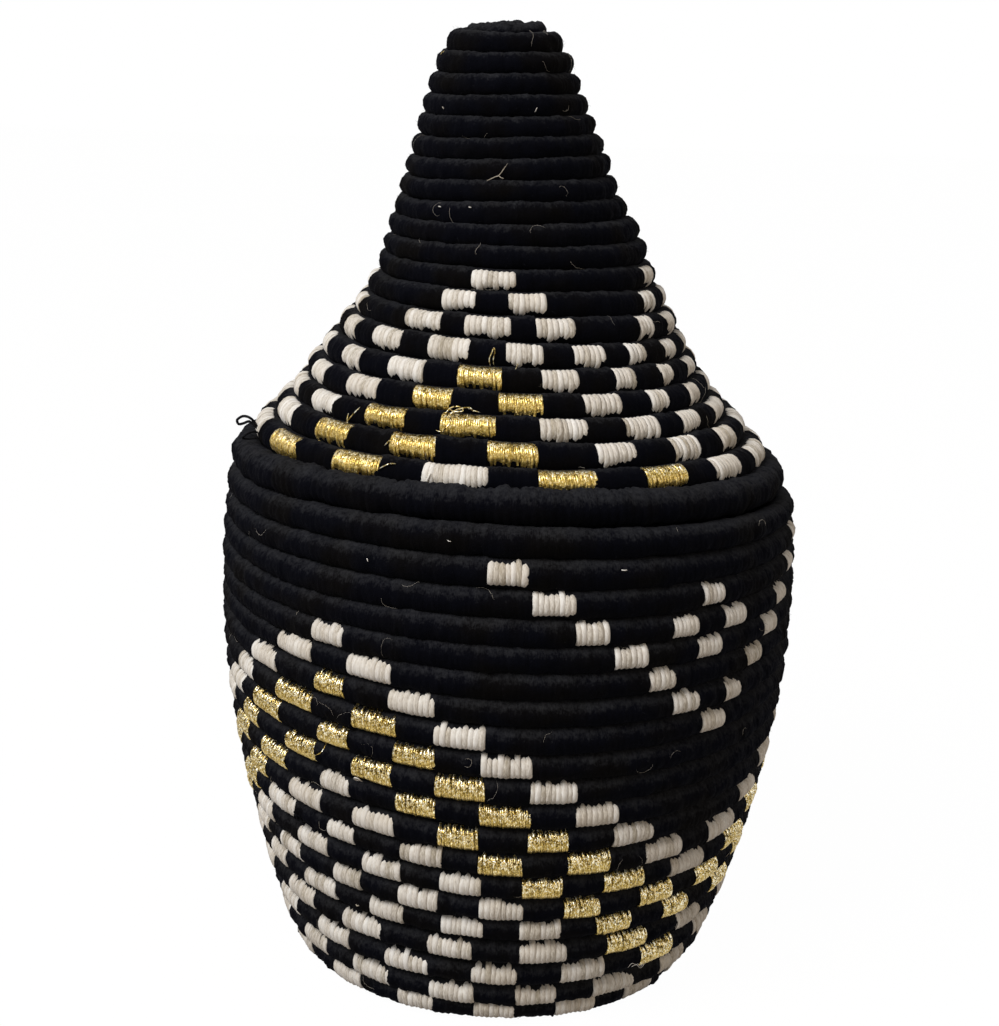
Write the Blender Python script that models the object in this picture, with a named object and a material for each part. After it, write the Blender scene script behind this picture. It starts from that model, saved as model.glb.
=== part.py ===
# Coiled basket with a lid. A bundle of grass wrapped in wool yarn is wound into rows, and each
# row is sewn to the one before it. The basket is one such coil and the lid is another.
# Metres, +Z up. The origin is the middle of the base, on the surface that the basket stands on,
# and -Y is the front. Seen from above, both coils go down anticlockwise.
import math
from collections import namedtuple

import bmesh
import bpy
import numpy as np
from mathutils import Vector

MM = 0.001

# Every coil
STEPS = 16                     # points along one turn, the same in all pieces, so that flats line up
BACK = STEPS // 2              # steps from the front to the back, where the coils end
SIDES = 6                      # sides of a row's section
ROW_GAP = 0.5 * MM             # between the facing flats of two rows
FIT_GAP = 0.35 * MM            # between two pieces that are sewn together or rest on each other
TAPER_STEPS = 4                # the outer end of a coil thins out over this many steps
TAPER_END = 0.12               # share of the row's thickness that is left at that end

# Basket, measured to the middle of its rows
MOUTH_RADIUS = 80.9 * MM
MOUTH_HEIGHT = 157.3 * MM
BELLY_RADIUS = 83.2 * MM
BELLY_HEIGHT = 120.0 * MM
FOOT_RADIUS = 60.4 * MM
SIDE_POWER = 1.9               # how the side draws in from belly to foot; 2 is a parabola
CORNER_ROUND = 3.0 * MM        # between the side and the base
SIDE_ROWS = 20.25              # rows of this coil that would fill the side down to the floor
WALL_TURNS = 20                # its turns, the last of which goes under the basket
BASE_THICKNESS = 7.6 * MM

# Lid, measured to the middle of its rows, with heights above the basket's mouth
TIP_RADIUS = 10.8 * MM
TIP_HEIGHT = 121.6 * MM
SHOULDER_RADIUS = 17.3 * MM
SHOULDER_HEIGHT = 111.6 * MM
NECK_RADIUS = 34.6 * MM
NECK_HEIGHT = 60.1 * MM
HEM_SLOPE = 0.95               # the flare's way outward for each part down, at the hem
HEM_TUCK = math.radians(14)    # how far the last row lies above the middle of the roll
LID_ROWS = 20
ROW_GROWTH = 1.23              # thickness of a row in the flare against one in the cone
THICK_ROWS = 6.5               # rows of full thickness, counted up from the hem
GROWING_ROWS = 4               # rows in which the thickness changes
TIP_THICKNESS = 6.6 * MM
FLARE_TURNS = 9                # turns in the lid's lower piece; the cone's coil goes on from there

# Thick roll round the lid's edge, which rests on the mouth
ROLL_RADIUS = 4.9 * MM
ROLL_INSET = 2.3 * MM          # how far its middle stands in from the mouth's, at the front
ROLL_SIDES = 8

# Collar under the lid, two thin rows that drop into the mouth and keep the lid in its place
COLLAR_ROW = 2.8 * MM          # radius of its rows
COLLAR_CLEARANCE = 2.6 * MM    # between the collar and the inside of the wall
COLLAR_LEAN = 2.2 * MM         # how far the upper row stands in from the lower one
COLLAR_DROP = 6.0 * MM         # height between the middles of the two rows
COLLAR_SIDES = 4               # sides of the half circle that rounds each of them

# Points along the outlines, and rounds in which sizes that depend on each other settle
SIDE_POINTS = 80
CURVE_POINTS = 24
SETTLING_ROUNDS = 30

# Yarn, in linear colour
BLACK_WOOL = (0.012, 0.012, 0.016, 1)
WOOL_ROUGHNESS = 0.95
SHARP_ANGLE = math.radians(50)

# One section of a coil: its step round the axis, its middle, the way to the next row and the way
# outward as (radius, height), and the distance from its middle to its corners
Station = namedtuple("Station", "step middle inward outward radius")


def mix(a, b, share):
    return a + (b - a) * share


def smooth(x):
    x = min(1.0, max(0.0, x))
    return x * x * (3 - 2 * x)


# Outlines: lists of (radius, height) that the middles of the rows follow
def curve(start, pull, end):
    """A quadratic curve from start to end, drawn towards pull, without its first point."""
    points = []
    for i in range(1, CURVE_POINTS + 1):
        u = i / CURVE_POINTS
        points.append(tuple(
            mix(mix(start[k], pull[k], u), mix(pull[k], end[k], u), u) for k in (0, 1)
        ))
    return points


def distances(line):
    """How far along the line each of its points lies."""
    total = [0.0]
    for (r0, z0), (r1, z1) in zip(line, line[1:]):
        total.append(total[-1] + math.hypot(r1 - r0, z1 - z0))
    return total


def point_on(line, along, distance):
    i = 1
    while i < len(along) - 1 and along[i] < distance:
        i += 1
    share = (distance - along[i - 1]) / (along[i] - along[i - 1])
    return np.array([mix(line[i - 1][k], line[i][k], share) for k in (0, 1)])


def side_radius(height):
    if height > BELLY_HEIGHT:
        share = (height - BELLY_HEIGHT) / (MOUTH_HEIGHT - BELLY_HEIGHT)
        return mix(BELLY_RADIUS, MOUTH_RADIUS, share ** 2)
    share = (BELLY_HEIGHT - height) / BELLY_HEIGHT
    return mix(BELLY_RADIUS, FOOT_RADIUS, share ** SIDE_POWER)


def side_outline(lowest):
    heights = [mix(MOUTH_HEIGHT, lowest, i / SIDE_POINTS) for i in range(SIDE_POINTS + 1)]
    return [(side_radius(height), height) for height in heights]


def wall_outline(floor_height):
    """From the mouth down the side, round the corner and flat inward under the basket."""
    line = side_outline(floor_height + CORNER_ROUND)
    corner = (side_radius(floor_height), floor_height)
    line += curve(line[-1], corner, (corner[0] - CORNER_ROUND, floor_height))
    line.append((corner[0] / 2, floor_height))
    return line


def lid_outline(hem):
    """From the hem up the flare and the straight cone to the shoulder and the flat tip."""
    tip = (TIP_RADIUS, MOUTH_HEIGHT + TIP_HEIGHT)
    shoulder = (SHOULDER_RADIUS, MOUTH_HEIGHT + SHOULDER_HEIGHT)
    neck = (NECK_RADIUS, MOUTH_HEIGHT + NECK_HEIGHT)
    cone_slope = (neck[0] - shoulder[0]) / (shoulder[1] - neck[1])
    flare_height = (hem[0] - neck[0] - cone_slope * (neck[1] - hem[1])) / (HEM_SLOPE - cone_slope)
    flare_pull = (hem[0] - HEM_SLOPE * flare_height, hem[1] + flare_height)
    tip_pull = (shoulder[0] - cone_slope * (tip[1] - shoulder[1]), tip[1])
    return [hem] + curve(hem, flare_pull, neck) + [shoulder] + curve(shoulder, tip_pull, tip)


# Coils
def half_row(spacing, turned=0.0):
    """Corner radius that keeps the gap to a row whose section is turned by this angle."""
    return (spacing - ROW_GAP) / 2 / math.cos(max(0.0, math.pi / SIDES - turned))


def row_middles(line, pitch_at, lead_in, count):
    """Middles of a coil's sections, each a row's pitch along the line from the one a turn before."""
    along = distances(line)
    middles = []
    reached = []
    for i in range(count + 1):
        turn = (i - lead_in) / STEPS
        pitch = pitch_at(turn)
        distance = turn * pitch
        if i >= STEPS:
            low, high = reached[i - STEPS], reached[i - STEPS] + 2 * pitch
            for _ in range(SETTLING_ROUNDS):
                distance = (low + high) / 2
                if np.linalg.norm(point_on(line, along, distance) - middles[i - STEPS]) < pitch:
                    low = distance
                else:
                    high = distance
        reached.append(distance)
        middles.append(point_on(line, along, distance))
    return middles


def wind(line, pitch_at, lead_in, rows, spin):
    """Stations of a coil, from its thin outer end inward. The line starts at the back, and the
    coil starts this many steps before it. Spin is 1 for anticlockwise from above, and -1."""
    middles = row_middles(line, pitch_at, lead_in, lead_in + round(rows * STEPS))
    stations = []
    for i, middle in enumerate(middles):
        ways = []
        if i >= STEPS:
            ways.append(middle - middles[i - STEPS])
        if i + STEPS < len(middles):
            ways.append(middles[i + STEPS] - middle)
        spacings = [np.linalg.norm(way) for way in ways]
        inward = sum(way / spacing for way, spacing in zip(ways, spacings))
        inward = inward / np.linalg.norm(inward)
        radius = min(
            half_row(spacing, math.acos(min(1.0, inward @ way / spacing)))
            for way, spacing in zip(ways, spacings)
        )
        share = mix(TAPER_END, 1, min(1, i / TAPER_STEPS))
        middle = middle + inward * (1 - share) * radius * math.cos(math.pi / SIDES)
        outward = spin * np.array([-inward[1], inward[0]])
        step = spin * (i - lead_in - BACK)
        stations.append(Station(step, middle, inward, outward, radius * share))
    return stations


def rows_at(stations, step):
    return [(s.middle, s.radius) for s in stations if (s.step - step) % STEPS == 0]


def touching_height(reach, radius, rows, way):
    """Height at which a round row at this reach lies on the rows (way 1) or under them (-1)."""
    heights = []
    for middle, other in rows:
        apart = radius + other + FIT_GAP
        aside = middle[0] - reach
        if abs(aside) < apart:
            heights.append(middle[1] + way * math.sqrt(apart ** 2 - aside ** 2))
    return way * max(way * height for height in heights)


# Sections, as corners in (radius, height)
def round_section(middle, outward, radius, sides):
    across = np.array([outward[1], -outward[0]])
    corners = []
    for k in range(sides):
        turn = 2 * math.pi * k / sides
        corners.append(middle + radius * (math.cos(turn) * outward + math.sin(turn) * across))
    return corners


def station_section(station):
    return round_section(station.middle, station.outward, station.radius, SIDES)


def double_section(high, low, radius):
    """Two round rows side by side, with the valleys between them filled by their sewing."""
    up = (high - low) / np.linalg.norm(high - low)
    across = np.array([up[1], -up[0]])
    corners = []
    for end, way in ((high, 1), (low, -1)):
        for k in range(COLLAR_SIDES + 1):
            turn = math.pi * (k / COLLAR_SIDES - 0.5)
            corners.append(end + radius * way * (math.cos(turn) * up + math.sin(turn) * across))
    return corners


def in_space(angle, point):
    """A (radius, height) point at an angle round the axis; 0 is the front."""
    return Vector((point[0] * math.sin(angle), -point[0] * math.cos(angle), point[1]))


def ring(step, corners):
    return [in_space(2 * math.pi * step / STEPS, corner) for corner in corners]


def coil_rings(stations):
    return [ring(s.step, station_section(s)) for s in stations]


def cut_rings(stations, spin, index):
    """Rings of the coil's two parts on either side of a cut, a fit gap apart."""
    s = stations[index]
    ahead = spin * FIT_GAP / (2 * math.pi * s.middle[0] / STEPS)
    after = [ring(s.step + ahead, station_section(s))] + coil_rings(stations[index + 1:])
    return coil_rings(stations[:index + 1]), after


# Solids
def make_object(name, bm):
    bmesh.ops.recalc_face_normals(bm, faces=bm.faces)
    mesh = bpy.data.meshes.new(name)
    bm.to_mesh(mesh)
    bm.free()
    material = bpy.data.materials.new(name + "_wool")
    material.use_nodes = True
    shader = material.node_tree.nodes["Principled BSDF"]
    shader.inputs["Base Color"].default_value = BLACK_WOOL
    shader.inputs["Roughness"].default_value = WOOL_ROUGHNESS
    shader.inputs["Metallic"].default_value = 0
    mesh.materials.append(material)
    mesh.shade_smooth()
    mesh.set_sharp_from_angle(angle=SHARP_ANGLE)
    piece = bpy.data.objects.new(name, mesh)
    bpy.context.scene.collection.objects.link(piece)
    return piece


def tube(name, rings, closed):
    """Joins rings of corners into a tube with two flat ends, or into one without an end."""
    bm = bmesh.new()
    loops = [[bm.verts.new(corner) for corner in corners] for corners in rings]
    pairs = list(zip(loops, loops[1:]))
    if closed:
        pairs.append((loops[-1], loops[0]))
    else:
        bm.faces.new(loops[0])
        bm.faces.new(loops[-1])
    for a, b in pairs:
        for k in range(len(a)):
            bm.faces.new((a[k], a[k - 1], b[k - 1], b[k]))
    return make_object(name, bm)


def plate_in_coil(name, coil, spin, bottom, top):
    """A plate inside a coil's last turn, with a spiral edge and a step that faces its end."""
    edge = []
    for s in coil[-STEPS - 1:]:
        inner = min(corner[0] for corner in station_section(s))
        edge.append((2 * math.pi * s.step / STEPS, inner - FIT_GAP))
    ahead = spin * FIT_GAP / edge[-1][1]
    edge[0] = (edge[0][0] + ahead, edge[0][1])
    edge.append((edge[-1][0] + ahead, edge[-1][1]))
    rims = [[in_space(angle, (radius, height)) for angle, radius in edge] for height in (bottom, top)]
    return tube(name, rims, False)


# Pieces
def basket_coil():
    pitch = distances(side_outline(0))[-1] / SIDE_ROWS
    line = wall_outline(half_row(pitch) + FIT_GAP)
    return wind(line, lambda turn: pitch, TAPER_STEPS, WALL_TURNS, 1), pitch


def roll_middles(wall, drift):
    """The roll lies on the wall's first row. It moves outward by drift in a turn, as the lid's
    last row does, and comes back where the ends of both coils thin out."""
    closing = STEPS - BACK - TAPER_STEPS
    middles = {}
    for step in range(-BACK, STEPS - BACK):
        turned = step
        if step > closing:
            turned = mix(closing, -BACK, (step - closing) / TAPER_STEPS)
        reach = MOUTH_RADIUS - ROLL_INSET + drift * turned / STEPS
        middles[step] = np.array([reach, touching_height(reach, ROLL_RADIUS, rows_at(wall, step), 1)])
    return middles


def lid_and_roll(wall, wall_pitch):
    """The lid's last row lies beside the roll, and the roll drifts with that row's thickness."""
    hem_way = np.array([HEM_SLOPE, -1]) / math.hypot(HEM_SLOPE, 1)
    tuck = np.array([-math.cos(HEM_TUCK), math.sin(HEM_TUCK)])
    full_rows = THICK_ROWS + GROWING_ROWS / 2
    thick_row = wall_pitch
    for _ in range(SETTLING_ROUNDS):
        roll = roll_middles(wall, hem_way[0] * thick_row)
        last_row = roll[0] + (half_row(thick_row) + ROLL_RADIUS + FIT_GAP) * tuck
        line = lid_outline(tuple(last_row + hem_way * thick_row / 2))
        thin_row = distances(line)[-1] / (full_rows * ROW_GROWTH + LID_ROWS - full_rows)
        thick_row = thin_row * ROW_GROWTH

    def pitch_at(turn):
        return mix(thick_row, thin_row, smooth((turn - THICK_ROWS) / GROWING_ROWS))

    print("lid rows %.2f to %.2f mm" % (thin_row / MM, thick_row / MM))
    return wind(line, pitch_at, 0, LID_ROWS, -1), roll


def roll_rings(roll):
    flat = np.array([1.0, 0.0])
    return [ring(step, round_section(roll[step], flat, ROLL_RADIUS, ROLL_SIDES)) for step in roll]


def collar_rings(wall, lid, roll):
    """The collar hangs under the lid's last rows, clear of the wall's rows beside it."""
    lowest = MOUTH_HEIGHT - COLLAR_DROP - 4 * COLLAR_ROW
    beside = [corner[0] for s in wall if s.middle[1] > lowest for corner in station_section(s)]
    low_reach = min(beside) - COLLAR_CLEARANCE - COLLAR_ROW
    high_reach = low_reach - COLLAR_LEAN
    rings = []
    for step in roll:
        rows = rows_at(lid, step) + [(roll[step], ROLL_RADIUS)]
        height = touching_height(high_reach, COLLAR_ROW, rows, -1)
        high = np.array([high_reach, height])
        low = np.array([low_reach, height - COLLAR_DROP])
        rings.append(ring(step, double_section(high, low, COLLAR_ROW)))
    return rings


def hang_on_lift(pieces):
    """The lid lifts straight off, so its pieces hang on a point of the basket's axis."""
    lift = bpy.data.objects.new("lid_lift", None)
    lift.location = (0, 0, MOUTH_HEIGHT)
    bpy.context.scene.collection.objects.link(lift)
    for piece in pieces:
        piece.parent = lift
        piece.location = (0, 0, -MOUTH_HEIGHT)


# Gaps, measured between the corners and the middles of the sections' sides
def measuring_points(rings):
    return np.array([p for c in rings for k in range(len(c)) for p in (c[k], (c[k] + c[k - 1]) / 2)])


def gap_between(rings, others):
    theirs = measuring_points(others)
    return min(float(np.linalg.norm(theirs - p, axis=1).min()) for p in measuring_points(rings))


def gap_to_itself(rings):
    """Between each section and the three that lie beside it a turn further on."""
    count = len(rings) - STEPS - 1
    return min(gap_between([rings[i]], rings[i + STEPS - 1:i + STEPS + 2]) for i in range(count))


def main():
    for old in list(bpy.data.objects):
        bpy.data.objects.remove(old)

    wall, wall_pitch = basket_coil()
    wall_rings = coil_rings(wall)
    tube("wall_coil", wall_rings, False)
    plate_in_coil("base_disc", wall, 1, 0, BASE_THICKNESS)

    lid, roll = lid_and_roll(wall, wall_pitch)
    lid_rings = coil_rings(lid)
    flare_rings, cone_rings = cut_rings(lid, -1, FLARE_TURNS * STEPS)
    edge_rings = roll_rings(roll)
    inner_rings = collar_rings(wall, lid, roll)
    top = lid[-1].middle[1] + lid[-1].radius
    hang_on_lift([
        tube("lid_coil", flare_rings, False),
        tube("lid_cone_coil", cone_rings, False),
        plate_in_coil("lid_tip", lid, -1, top - TIP_THICKNESS, top),
        tube("lid_rim_roll", edge_rings, True),
        tube("lid_collar", inner_rings, True),
    ])

    print("basket rows %.2f mm, top at %.1f mm" % (wall_pitch / MM, top / MM))
    for name, gap in (
        ("wall coil to itself", gap_to_itself(wall_rings)),
        ("lid coil to itself", gap_to_itself(lid_rings)),
        ("roll to wall coil", gap_between(edge_rings, wall_rings)),
        ("lid coil to cone coil", gap_between(flare_rings[-1:], cone_rings[:1])),
        ("roll to lid coil", gap_between(edge_rings, lid_rings)),
        ("collar to lid coil", gap_between(inner_rings, lid_rings)),
        ("collar to roll", gap_between(inner_rings, edge_rings)),
        ("collar to wall coil", gap_between(inner_rings, wall_rings)),
    ):
        print("%s: %.2f mm" % (name, gap / MM))


main()
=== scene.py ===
import math

import bpy
import numpy as np
from mathutils import Matrix, Vector


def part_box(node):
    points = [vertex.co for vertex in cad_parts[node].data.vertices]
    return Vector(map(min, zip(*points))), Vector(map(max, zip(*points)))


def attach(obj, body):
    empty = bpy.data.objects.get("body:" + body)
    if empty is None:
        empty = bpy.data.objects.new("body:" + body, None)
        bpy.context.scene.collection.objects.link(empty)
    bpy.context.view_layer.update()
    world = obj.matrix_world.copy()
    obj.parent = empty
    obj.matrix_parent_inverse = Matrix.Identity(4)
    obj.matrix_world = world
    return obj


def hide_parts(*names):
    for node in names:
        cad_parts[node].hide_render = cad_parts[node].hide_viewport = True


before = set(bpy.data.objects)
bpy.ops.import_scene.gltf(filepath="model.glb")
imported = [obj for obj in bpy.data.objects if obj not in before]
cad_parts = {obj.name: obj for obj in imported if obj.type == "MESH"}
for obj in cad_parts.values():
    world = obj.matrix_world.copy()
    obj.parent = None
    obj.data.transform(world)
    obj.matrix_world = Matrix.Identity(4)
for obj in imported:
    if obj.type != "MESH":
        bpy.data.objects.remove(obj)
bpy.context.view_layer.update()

mm = 0.001
rng = np.random.default_rng(29)
scene = bpy.context.scene


# Small maths
def mixOf(a, b, share):
    return a + (b - a) * share


def smoothStep(x):
    x = np.clip(x, 0.0, 1.0)
    return x * x * (3 - 2 * x)


def readAt(pairs, x):
    # the value at x, from a short list of (x, value)
    return np.interp(x, *zip(*pairs))


def unit(way):
    return way / np.maximum(np.linalg.norm(way, axis=-1, keepdims=True), 1e-6)


def circle(points):
    return 2 * np.pi * np.arange(points) / points


def wobble(t, seed, slowest, fastest, waves=9):
    # a smooth random line of about +-1 along a coil; speeds are waves in a turn
    own = np.random.default_rng(seed)
    speeds = own.uniform(slowest, fastest, waves)
    starts = own.uniform(0, 1, waves)
    return sum(np.sin(2 * np.pi * (t * s + p)) for s, p in zip(speeds, starts)) / math.sqrt(waves)


# Colours and materials
def hexColour(code):
    parts = [int(code[i:i + 2], 16) / 255 for i in (1, 3, 5)]
    return [p / 12.92 if p <= 0.04045 else ((p + 0.055) / 1.055) ** 2.4 for p in parts] + [1.0]


def setSteps(ramp, steps):
    while len(ramp.elements) < len(steps):
        ramp.elements.new(0.5)
    for element, (place, code) in zip(ramp.elements, steps):
        element.position = place
        element.color = hexColour(code)


def addNode(tree, kind, settings=None, **links):
    # a socket goes by its name, or by its number as "in 1"; a linked node gives its first output
    node = tree.nodes.new("ShaderNode" + kind)
    for name, value in (settings or {}).items():
        if isinstance(value, str) and value.startswith("#"):
            value = hexColour(value)
        if name == "steps":
            setSteps(node.color_ramp, value)
        elif name.startswith("in "):
            node.inputs[int(name[3:])].default_value = value
        elif name in node.inputs:
            node.inputs[name].default_value = value
        else:
            setattr(node, name, value)
    for name, source in links.items():
        name = name.replace("_", " ")
        socket = node.inputs[int(name[3:]) if name.startswith("in ") else name]
        tree.links.new(getattr(source, "outputs", [source])[0], socket)
    return node


def newMaterial(name):
    material = bpy.data.materials.new(name)
    material.use_nodes = True
    material.node_tree.nodes.clear()
    return material, material.node_tree


# The darkest colour is painted shade for the lower side of each row, the palest grey is painted light for
# its upper side, and upperShare sets how much paler the upper side is painted
woolLook = {
    "deep": "#030303", "middle": "#08080a", "paintedLightGrey": "#343434", "brown": "#110e0c",
    "navy": "#0b0c15", "hueShare": 0.35, "fibreMm": 0.35, "tuftMm": 1.3, "patchMm": 16.0,
    "fibreShare": 0.6, "toneShare": 0.16, "upperShare": 0.66, "darkest": 0.94, "palest": 1.68,
    "sheen": 0.02, "sheenTint": "#5f5c62",
}


# Black wool yarn, loosely spun and wound by hand: dull and nearly black, mottled in soft tufts.
# Its colour holds painted light: the upper side of each row is painted greyer, as if lit from above, and
# the lower side is painted near black as shade
def blackWool(look=woolLook):
    material, tree = newMaterial("black_wool_yarn_hand_wound")
    coords = addNode(tree, "TexCoord").outputs
    tone = addNode(tree, "Attribute", {"attribute_name": "tone"}).outputs["Fac"]
    upper = addNode(tree, "Attribute", {"attribute_name": "upper"}).outputs["Fac"]
    along = addNode(tree, "Mapping", {"Scale": (1.0, 0.25, 1.0)}, Vector=coords["UV"])
    fibres = addNode(tree, "TexNoise", {"Scale": 1 / (look["fibreMm"] * mm), "Detail": 3.0,
                                        "Roughness": 0.65}, Vector=along)
    patches = addNode(tree, "TexNoise", {"Scale": 1 / (look["patchMm"] * mm), "Detail": 2.0},
                      Vector=coords["Object"])
    tufts = addNode(tree, "TexNoise", {"Scale": 1 / (look["tuftMm"] * mm), "Detail": 5.0,
                                       "Roughness": 0.7}, Vector=coords["Object"])
    texture = addNode(tree, "Math", {"operation": "MULTIPLY_ADD", "in 1": look["fibreShare"]},
                      in_0=fibres, in_2=tufts)
    mottled = addNode(tree, "Math", {"operation": "MULTIPLY_ADD", "in 1": look["toneShare"]},
                      in_0=tone, in_2=texture)
    # painted light and shade: the row's upper side is made paler, its lower side darker
    shade = addNode(tree, "Math", {"operation": "MULTIPLY_ADD", "in 1": look["upperShare"]},
                    in_0=upper, in_2=mottled)
    spread = addNode(tree, "MapRange", {"From Min": look["darkest"], "From Max": look["palest"]},
                     Value=shade)
    steps = [(0.0, look["deep"]), (0.45, look["middle"]), (1.0, look["paintedLightGrey"])]
    colour = addNode(tree, "ValToRGB", {"steps": steps}, Fac=spread)
    share = addNode(tree, "MapRange", {"From Min": 0.45, "From Max": 0.65}, Value=patches)
    hue = addNode(tree, "Mix", {"data_type": "RGBA", "in 6": look["navy"], "in 7": look["brown"]},
                  in_0=share)
    tinted = addNode(tree, "Mix", {"data_type": "RGBA", "in 0": look["hueShare"]},
                     in_6=colour, in_7=hue.outputs[2])
    bump = addNode(tree, "Bump", {"Strength": 0.9, "Distance": 0.35 * mm}, Height=texture)
    shader = addNode(tree, "BsdfPrincipled", {
        "Roughness": 0.95, "IOR": 1.5, "Specular IOR Level": 0.03, "Sheen Weight": look["sheen"],
        "Sheen Roughness": 0.5, "Sheen Tint": look["sheenTint"],
    }, Base_Color=tinted.outputs[2], Normal=bump)
    addNode(tree, "OutputMaterial", Surface=shader)
    return material


cottonLook = {
    "dark": "#aa9e86", "middle": "#ddd3c0", "light": "#f6f0e1", "stain": "#cfbfa3",
    "strandMm": 0.40, "patchMm": 22.0, "twist": 12, "toneShare": 0.55, "stainShare": 0.45,
}


# White cotton yarn, softly twisted: cream strands with fine slanting fibres and a little dust
def whiteCotton(look=cottonLook):
    material, tree = newMaterial("white_cotton_yarn_soft_twist")
    coords = addNode(tree, "TexCoord").outputs
    tone = addNode(tree, "Attribute", {"attribute_name": "tone"}).outputs["Fac"]
    turned = addNode(tree, "Mapping", {"Rotation": (0, 0, math.radians(look["twist"])),
                                       "Scale": (0.2, 1.0, 1.0)}, Vector=coords["UV"])
    strands = addNode(tree, "TexNoise", {"Scale": 1 / (look["strandMm"] * mm), "Detail": 2.5,
                                         "Roughness": 0.6}, Vector=turned)
    patches = addNode(tree, "TexNoise", {"Scale": 1 / (look["patchMm"] * mm), "Detail": 3.0},
                      Vector=coords["Object"])
    shade = addNode(tree, "Math", {"operation": "MULTIPLY_ADD", "in 1": look["toneShare"]},
                    in_0=tone, in_2=strands)
    spread = addNode(tree, "MapRange", {"From Min": 0.45, "From Max": 1.05}, Value=shade)
    steps = [(0.0, look["dark"]), (0.45, look["middle"]), (1.0, look["light"])]
    colour = addNode(tree, "ValToRGB", {"steps": steps}, Fac=spread)
    stained = addNode(tree, "MapRange", {"From Min": 0.5, "From Max": 0.75,
                                         "To Max": look["stainShare"]}, Value=patches)
    stained = addNode(tree, "Mix", {"data_type": "RGBA", "in 7": look["stain"]},
                      in_0=stained, in_6=colour)
    bump = addNode(tree, "Bump", {"Strength": 0.3, "Distance": 0.15 * mm}, Height=strands)
    shader = addNode(tree, "BsdfPrincipled", {
        "Roughness": 0.9, "IOR": 1.5, "Specular IOR Level": 0.25, "Sheen Weight": 0.15,
        "Sheen Roughness": 0.5,
    }, Base_Color=stained.outputs[2], Normal=bump)
    addNode(tree, "OutputMaterial", Surface=shader)
    return material


# The shadow and glint colours are painted shade and painted glints; the two glitter numbers set their
# contrast on the lower and the upper side
goldLook = {
    "shadow": "#33250a", "body": "#b79a4c", "bright": "#dcc27a", "glint": "#fffbe4",
    "flakeMm": 0.34, "foilMm": 0.8, "flakeShare": 1.8, "lowerGlitter": 0.55, "upperGlitter": 1.45,
}


# Gold thread, a metal-coated foil strip spun round a core, with short flat facets in its bump.
# Its colour holds painted glints beside painted dark gaps, in small random flakes, with the strongest
# contrast on the upper side, as if lit from above
def goldThread(look=goldLook):
    material, tree = newMaterial("gold_foil_thread_spun")
    coords = addNode(tree, "TexCoord").outputs
    upper = addNode(tree, "Attribute", {"attribute_name": "upper"}).outputs["Fac"]
    stretched = addNode(tree, "Mapping", {"Scale": (0.8, 1.0, 1.0)}, Vector=coords["UV"])
    flakes = addNode(tree, "TexVoronoi", {"Scale": 1 / (look["flakeMm"] * mm), "Randomness": 1.0},
                     Vector=stretched)
    foil = addNode(tree, "TexVoronoi", {"Scale": 1 / (look["foilMm"] * mm), "Randomness": 1.0},
                   Vector=coords["Object"])
    flake = addNode(tree, "SeparateColor", Color=flakes.outputs["Color"])
    fold = addNode(tree, "SeparateColor", Color=foil.outputs["Color"])
    facets = addNode(tree, "Math", {"operation": "MULTIPLY_ADD", "in 1": look["flakeShare"]},
                     in_0=flake.outputs["Red"], in_2=fold.outputs["Green"])
    spread = addNode(tree, "MapRange", {"From Min": 0.4, "From Max": 2.4, "To Min": -0.5,
                                        "To Max": 0.5}, Value=facets)
    # painted glints and shade are stronger on the upper side of each wrap
    contrast = addNode(tree, "MapRange", {"From Max": 0.8, "To Min": look["lowerGlitter"],
                                          "To Max": look["upperGlitter"]}, Value=upper)
    sparkle = addNode(tree, "Math", {"operation": "MULTIPLY_ADD", "in 2": 0.5},
                      in_0=spread, in_1=contrast)
    steps = [(0.0, look["shadow"]), (0.42, look["body"]), (0.7, look["bright"]), (1.0, look["glint"])]
    colour = addNode(tree, "ValToRGB", {"steps": steps}, Fac=sparkle)
    bump = addNode(tree, "Bump", {"Strength": 1.0, "Distance": 0.22 * mm}, Height=facets)
    shader = addNode(tree, "BsdfPrincipled", {"Metallic": 1.0, "Roughness": 0.30},
                     Base_Color=colour, Normal=bump)
    addNode(tree, "OutputMaterial", Surface=shader)
    return material


# Each yarn's material and the record's slot for it
yarns = {"wool": (blackWool(), "black_wool"), "cotton": (whiteCotton(), "white_cotton"),
         "gold": (goldThread(), "gold_thread")}

# Outlines of the basket and the lid, as (radius, height) of the middles of the rows
basketShape = {
    "mouthRadius": 80.9, "mouthHeight": 157.3, "bellyRadius": 83.2, "bellyHeight": 120.0,
    "footRadius": 60.4, "sidePower": 1.9, "cornerRound": 3.0, "sideRows": 20.25, "turns": 20,
}
lidShape = {
    "tipRadius": 10.8, "tipHeight": 121.6, "shoulderRadius": 17.3, "shoulderHeight": 111.6,
    "neckRadius": 34.6, "neckHeight": 60.1, "hemSlope": 0.95, "hemTuck": 14.0, "rows": 20,
    "growth": 1.23, "thickRows": 6.5, "growingRows": 4,
}
rowGap = 0.5                             # between the facing flats of two rows of the frame
fitGap = 0.35
stepsInTurn = 16
halfTurn = stepsInTurn // 2
taperSteps = 4
taperEnd = 0.12
flatShare = math.cos(math.pi / 6)        # of a six-sided row's corner reach, where its flats are
bendPoints = 24
sidePoints = 80
halvings = 30                            # of the search for a row's place on the outline
lidTries = 12                            # for the lid's pitch and the roll to suit each other


def bentLine(start, pull, end):
    start, pull, end = (np.array(point) for point in (start, pull, end))
    shares = [i / bendPoints for i in range(1, bendPoints + 1)]
    return [tuple(mixOf(mixOf(start, pull, u), mixOf(pull, end, u), u)) for u in shares]


def lineLengths(line):
    steps = np.hypot(*np.diff(np.array(line), axis=0).T)
    return np.concatenate([[0.0], np.cumsum(steps)])


def pointOn(line, along, distance):
    i = int(np.clip(np.searchsorted(along, distance), 1, len(along) - 1))
    share = (distance - along[i - 1]) / (along[i] - along[i - 1])
    return mixOf(np.array(line[i - 1]), np.array(line[i]), share)


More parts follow.
